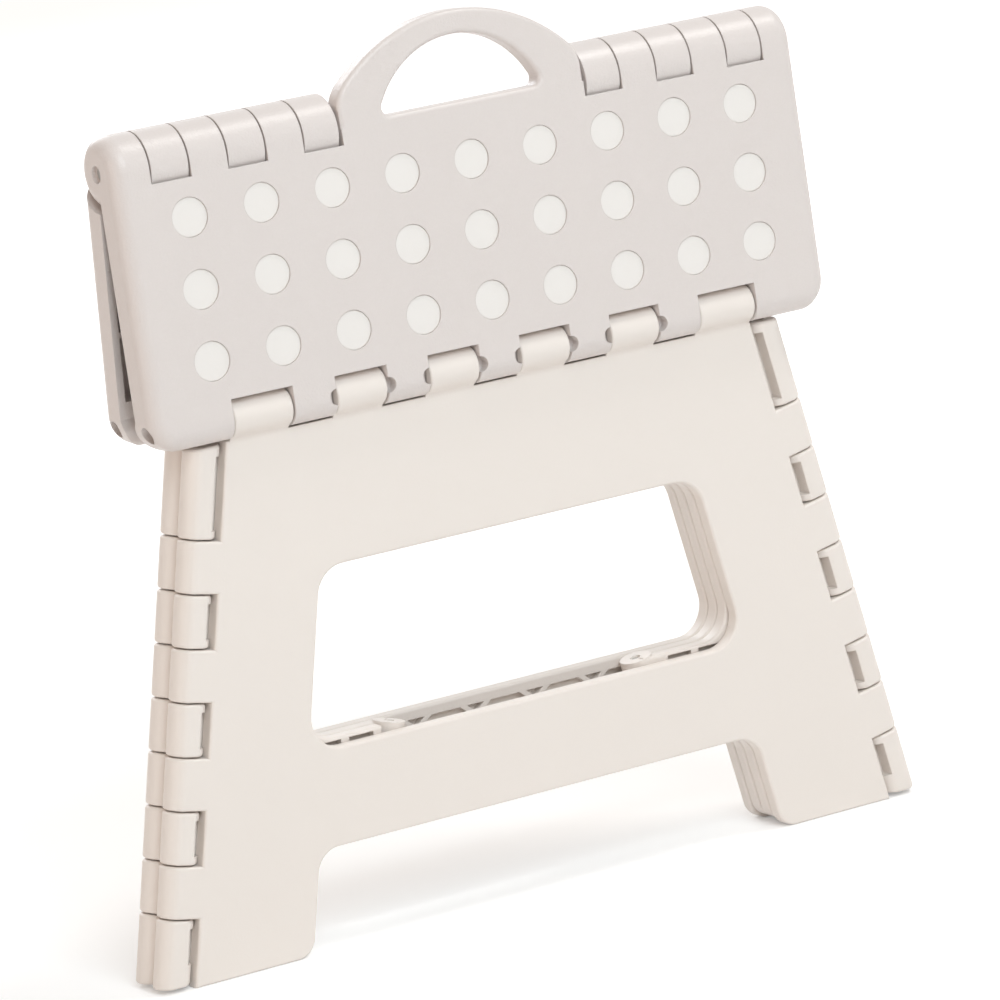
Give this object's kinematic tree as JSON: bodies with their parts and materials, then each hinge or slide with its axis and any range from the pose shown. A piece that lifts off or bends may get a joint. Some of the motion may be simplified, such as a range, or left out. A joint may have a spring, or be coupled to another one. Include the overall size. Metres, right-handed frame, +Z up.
{
  "type": "folding step stool",
  "caption": "Flat-folding plastic step stool with hinged dotted platform halves, a carrying handle, slanted leg panels with window and arch, and end panels that fold inward.",
  "frame": {"origin": "on the floor under the middle of the folded stool, midway between the leg panels", "axes": "+X along the stool, -Y out of the dotted front half of the platform, +Z up"},
  "size_m": [0.3398, 0.039, 0.3376],
  "materials": {
    "platform": "fine matte grain",
    "panel": "satin moulded",
    "grip_dot": "matte, soft",
    "hinge_pin": "drawn wire"
  },
  "bodies": {
    "front_leg": {"front_leg_panel": "panel", "front_left_corner_pin": "hinge_pin", "front_right_corner_pin": "hinge_pin"},
    "front_left_end": {"front_left_end_panel": "panel"},
    "back_left_end": {"back_left_end_panel": "panel", "left_lower_mid_pin": "hinge_pin", "left_upper_mid_pin": "hinge_pin"},
    "back_leg": {"back_leg_panel": "panel", "back_left_corner_pin": "hinge_pin", "back_right_corner_pin": "hinge_pin"},
    "front_right_end": {"front_right_end_panel": "panel", "right_lower_mid_pin": "hinge_pin", "right_upper_mid_pin": "hinge_pin"},
    "back_right_end": {"back_right_end_panel": "panel"},
    "front_deck": {"front_deck": "platform", "front_deck_dots": "grip_dot", "front_deck_pin": "hinge_pin", "centre_pin_left": "hinge_pin", "centre_pin_right": "hinge_pin"},
    "back_deck": {"back_deck": "platform", "back_deck_dots": "grip_dot", "back_deck_pin": "hinge_pin"}
  },
  "joints": [
    {"name": "unfold", "type": "hinge", "parent": "front_leg", "child": "front_left_end", "pos_m": [-0.1635, -0.0065, 0], "axis": [0.2018, 0, 0.9794], "range_deg": [0, 90]},
    {"name": "left_mid_hinge", "type": "hinge", "parent": "front_left_end", "child": "back_left_end", "pos_m": [-0.0711, 0, 0], "axis": [0.2018, 0, 0.9794], "range_deg": [-180, 0]},
    {"name": "back_left_corner", "type": "hinge", "parent": "back_left_end", "child": "back_leg", "pos_m": [-0.1635, 0.0065, 0], "axis": [0.2018, 0, 0.9794], "range_deg": [0, 90]},
    {"name": "front_right_corner", "type": "hinge", "parent": "front_leg", "child": "front_right_end", "pos_m": [0.1635, -0.0065, 0], "axis": [-0.2018, 0, 0.9794], "range_deg": [-90, 0]},
    {"name": "back_right_corner", "type": "hinge", "parent": "back_leg", "child": "back_right_end", "pos_m": [0.1635, 0.0065, 0], "axis": [-0.2018, 0, 0.9794], "range_deg": [0, 90]},
    {"name": "front_deck_hinge", "type": "hinge", "parent": "front_leg", "child": "front_deck", "pos_m": [0, -0.012, 0.206], "axis": [1, 0, 0], "range_deg": [-86.41, 0]},
    {"name": "back_deck_hinge", "type": "hinge", "parent": "back_leg", "child": "back_deck", "pos_m": [0, 0.012, 0.206], "axis": [1, 0, 0], "range_deg": [0, 86.41]}
  ],
  "couplings": [
    {"joint": "left_mid_hinge", "follows": "unfold", "ratio": -2},
    {"joint": "back_left_corner", "follows": "unfold", "ratio": 1},
    {"joint": "front_right_corner", "follows": "unfold", "ratio": -1},
    {"joint": "back_right_corner", "follows": "unfold", "ratio": 1},
    {"joint": "front_deck_hinge", "follows": "unfold", "ratio": -0.96011},
    {"joint": "back_deck_hinge", "follows": "unfold", "ratio": 0.96011}
  ]
}
